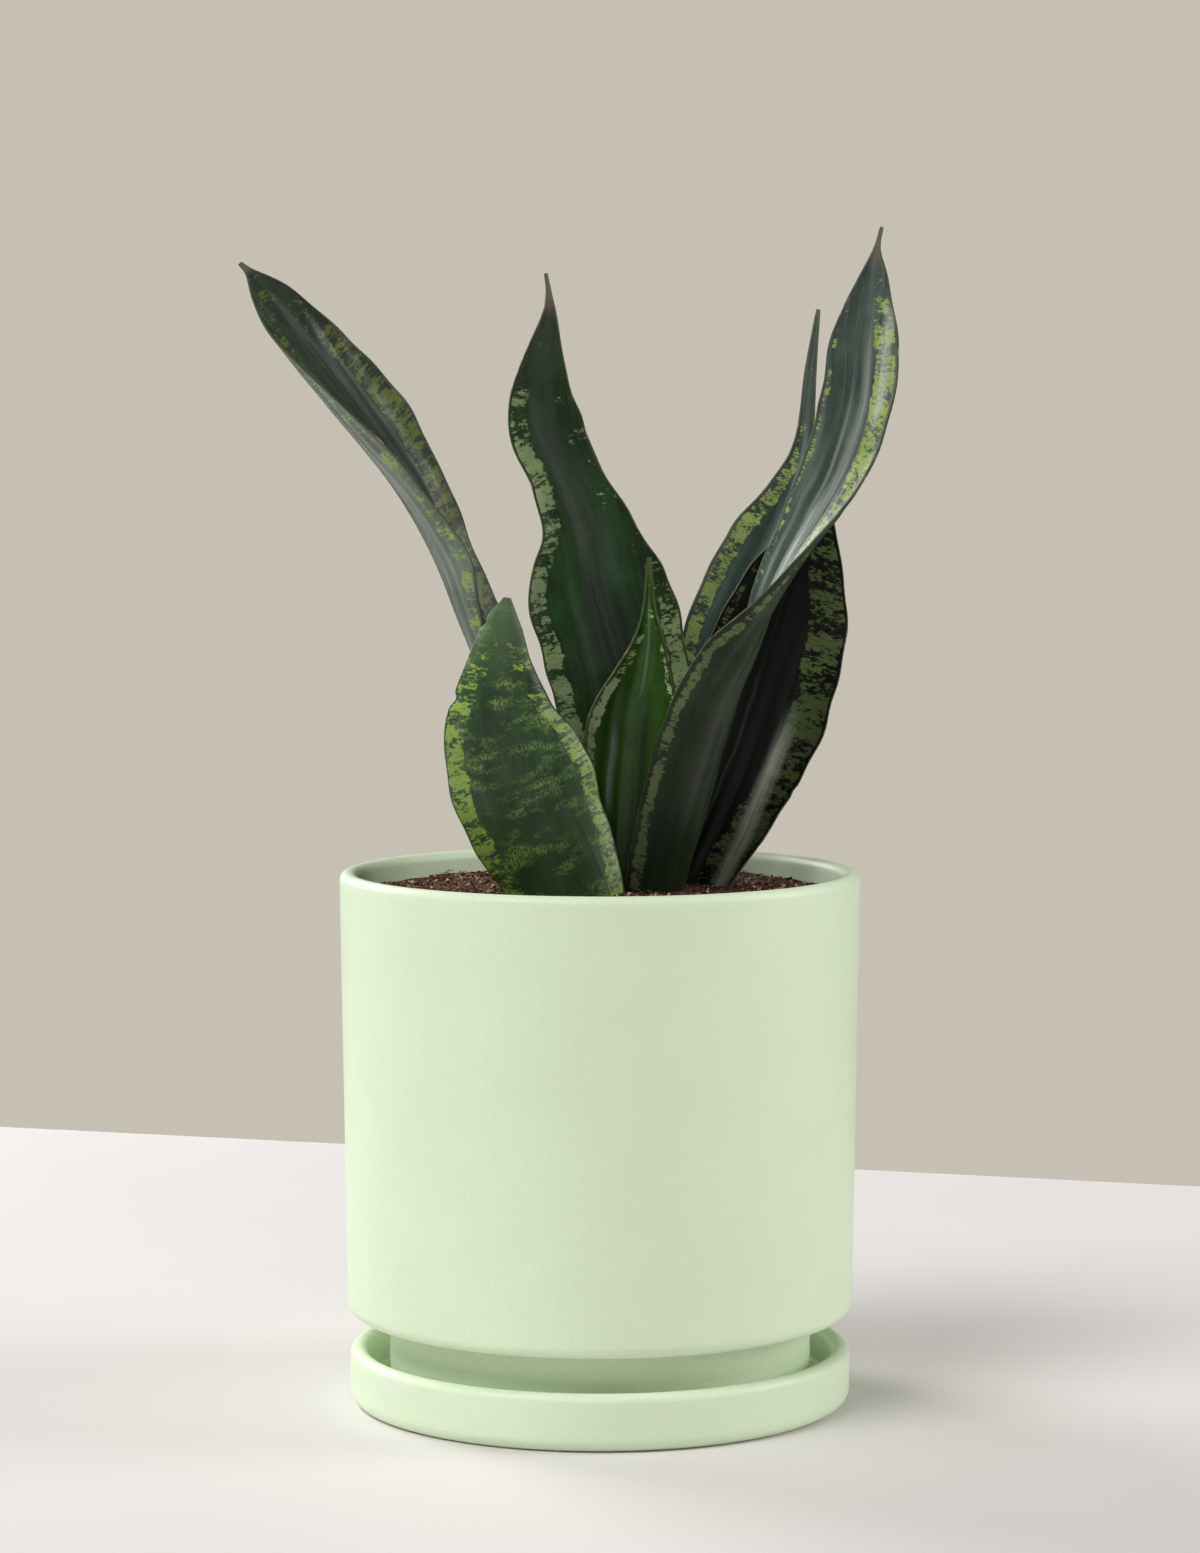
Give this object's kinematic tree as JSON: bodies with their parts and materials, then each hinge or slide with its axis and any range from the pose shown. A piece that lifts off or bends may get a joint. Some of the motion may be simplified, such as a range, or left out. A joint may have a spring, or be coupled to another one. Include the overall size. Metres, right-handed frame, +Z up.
{
  "type": "potted snake plant",
  "caption": "Potted snake plant: upright marbled sword leaves growing from soil in a straight round ceramic pot that stands on a matching saucer.",
  "frame": {"origin": "centre of the saucer's flat underside, on the surface that it stands on", "axes": "+Z up along the pot's axis; -Y towards the front of the plant; +X towards the tallest leaf"},
  "size_m": [0.2042, 0.165, 0.3712],
  "materials": {
    "glazed_pot": "matte",
    "potting_soil": "loose dark coir and bark potting mix",
    "rhizome": "fleshy tan underground stem",
    "mature_leaf": "smooth waxy dark green leaf with marbled yellow-green margins",
    "young_leaf": "smooth waxy bright green young leaf"
  },
  "bodies": {
    "root": {"saucer": "glazed_pot", "pot": "glazed_pot", "soil": "potting_soil", "rhizome": "rhizome", "leaf_left_tall": "mature_leaf", "leaf_middle_tall": "mature_leaf", "leaf_front_short": "mature_leaf", "leaf_heart_young": "young_leaf", "leaf_right_tall": "mature_leaf", "leaf_right_broad": "mature_leaf", "leaf_right_narrow": "mature_leaf"}
  },
  "joints": []
}
